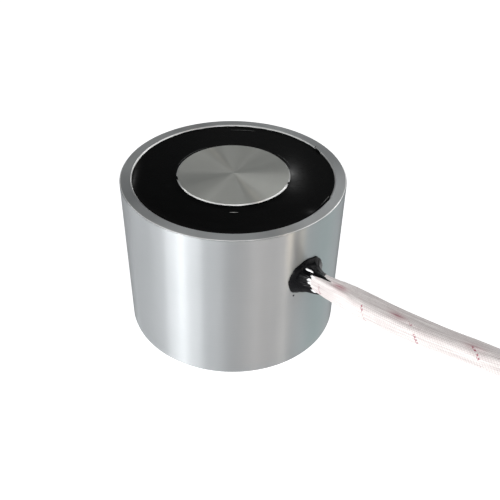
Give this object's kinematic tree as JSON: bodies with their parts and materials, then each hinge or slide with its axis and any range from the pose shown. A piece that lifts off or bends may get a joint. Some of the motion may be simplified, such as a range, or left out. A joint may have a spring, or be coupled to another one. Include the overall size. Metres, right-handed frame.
{
  "type": "electro-permanent magnet",
  "caption": "Round steel holding magnet with a centre pole, a coil sealed in black epoxy round it and a lead in a braided sleeve from its side.",
  "frame": {"origin": "centre of the round base, on the face that the magnet stands on and is fastened by", "axes": "+Z along the turned axis towards the pole face; the lead leaves the wall 38.5 degrees from -Y towards +X"},
  "size_m": [0.2079, 0.1606, 0.06],
  "materials": {
    "plated_steel": "turned and zinc plated, satin",
    "pole_steel": "faced on a lathe, fine circular marks",
    "magnet_plating": "nickel plated",
    "former_nylon": "moulded",
    "winding_copper": "enamelled",
    "winding_tape": "film tape",
    "potting_epoxy": "cast, glossy",
    "seal_epoxy": "cast by hand, glossy",
    "splice_film": "shrunk tube",
    "coil_wire": "enamelled",
    "lead_wire_red": "extruded",
    "lead_wire_black": "extruded",
    "glass_braid": "braided white glass yarn with red tracer yarns",
    "shrink_film": "shrunk tube",
    "tinned_copper": "tinned"
  },
  "bodies": {
    "root": {"housing_cup": "plated_steel", "permanent_magnet": "magnet_plating", "pole_core": "pole_steel", "coil_former": "former_nylon", "coil_winding": "winding_copper", "coil_tape": "winding_tape", "potting_ring": "potting_epoxy", "lead_seal": "seal_epoxy", "coil_start_wire": "coil_wire", "coil_finish_wire": "coil_wire", "splice_sleeve_start": "splice_film", "splice_sleeve_finish": "splice_film", "lead_wire_start": "lead_wire_red", "lead_wire_finish": "lead_wire_black", "lead_sleeve": "glass_braid", "sleeve_end_wrap": "shrink_film", "tail_wire_start": "lead_wire_red", "tail_wire_finish": "lead_wire_black", "tinned_end_start": "tinned_copper", "tinned_end_finish": "tinned_copper"}
  },
  "joints": []
}
